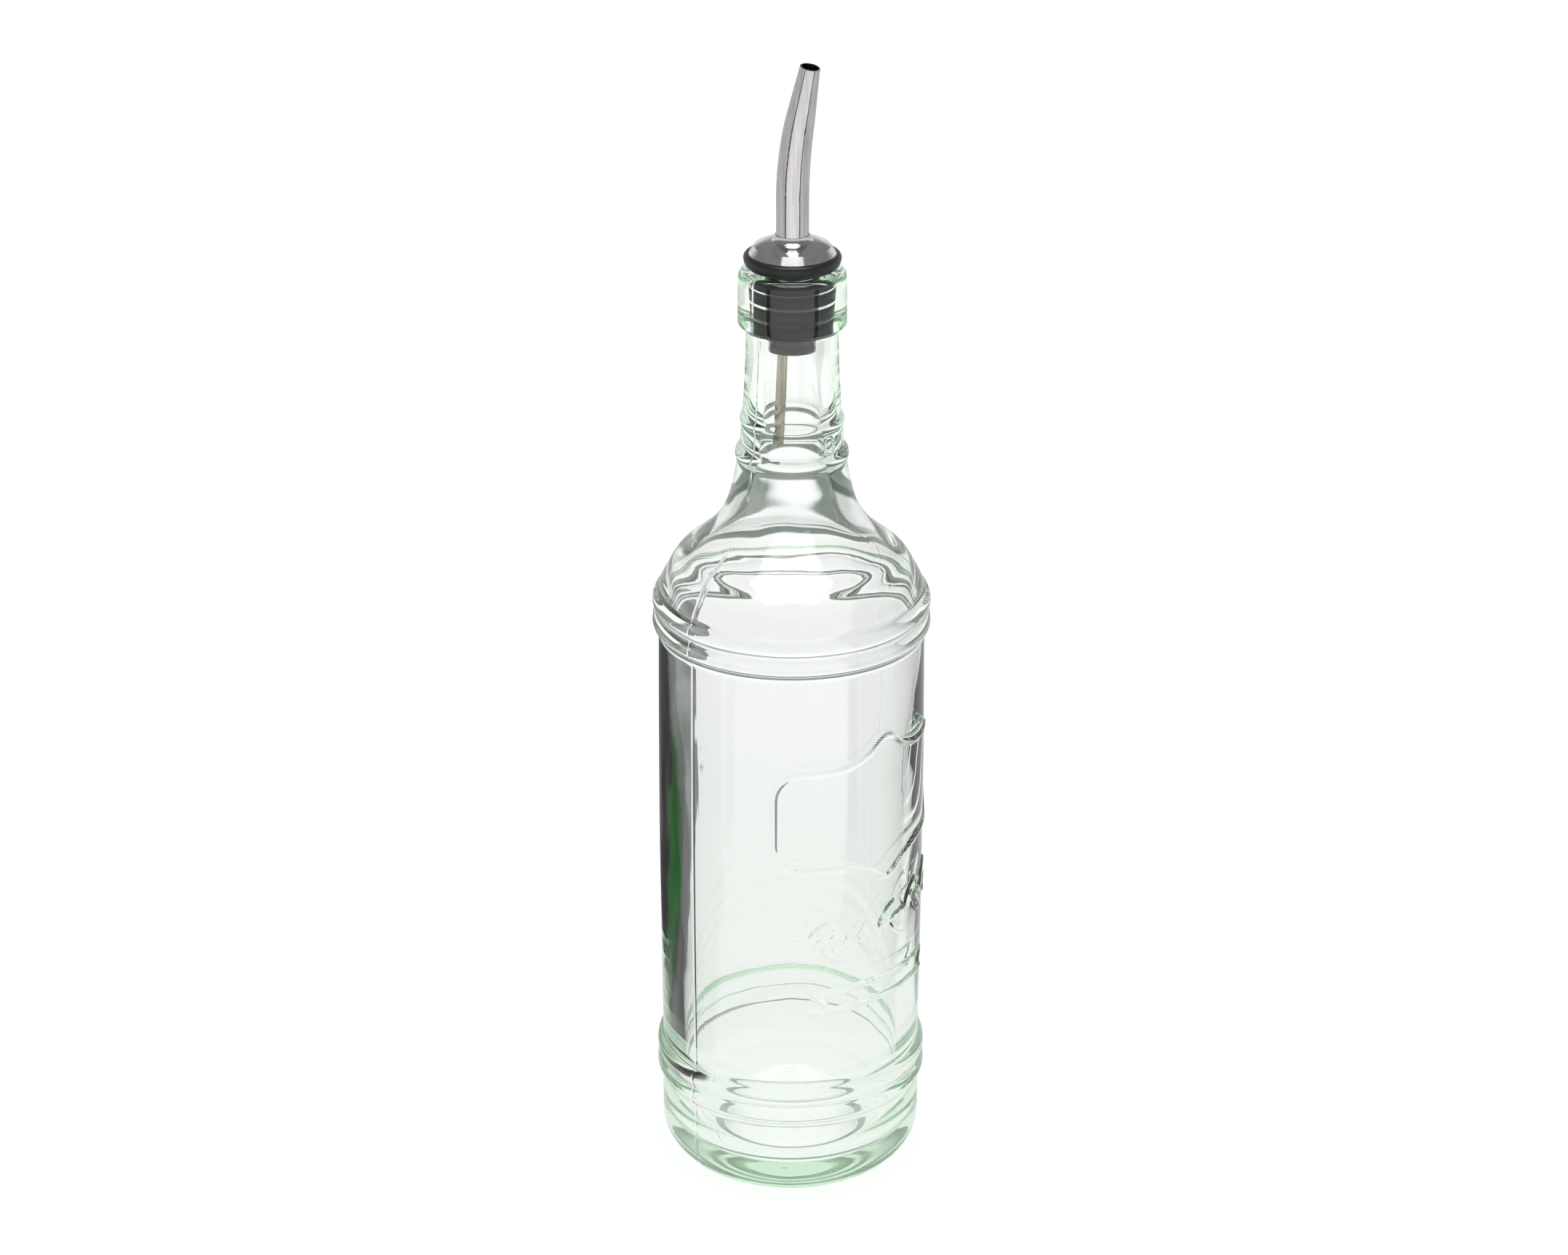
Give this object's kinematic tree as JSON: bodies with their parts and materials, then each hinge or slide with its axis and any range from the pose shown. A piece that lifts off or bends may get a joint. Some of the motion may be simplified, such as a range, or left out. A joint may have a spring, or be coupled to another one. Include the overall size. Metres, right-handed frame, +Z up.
{
  "type": "glass oil bottle with pourer",
  "caption": "Tall moulded glass oil bottle with double ring beads and a blank raised label frame, closed by a ribbed rubber stopper that carries a bent steel pouring spout.",
  "frame": {"origin": "centre of the bottle's base, on the plane it stands on", "axes": "+Z up along the bottle's axis; the raised label frame faces halfway between -Y and +X, and the spout leans towards +X and a little towards -Y"},
  "size_m": [0.0886, 0.0886, 0.3739],
  "materials": {
    "pale_green_glass": "clear, fire polished",
    "black_rubber": "semi-gloss",
    "bright_steel": "bright, lightly polished",
    "plain_steel": "plain drawn"
  },
  "bodies": {
    "bottle": {"glass_bottle": "pale_green_glass"},
    "stopper": {"rubber_stopper": "black_rubber"},
    "spout": {"spout_tube": "bright_steel", "spout_collar": "bright_steel", "air_tube": "plain_steel"}
  },
  "joints": [
    {"name": "pourer_lift", "type": "slide", "parent": "bottle", "child": "stopper", "axis": [0, 0, 1], "range_m": [0, 0.07]},
    {"name": "spout_swivel", "type": "hinge", "parent": "stopper", "child": "spout", "pos_m": [0, 0, 0.3], "axis": [0, 0, 1], "continuous": true}
  ]
}
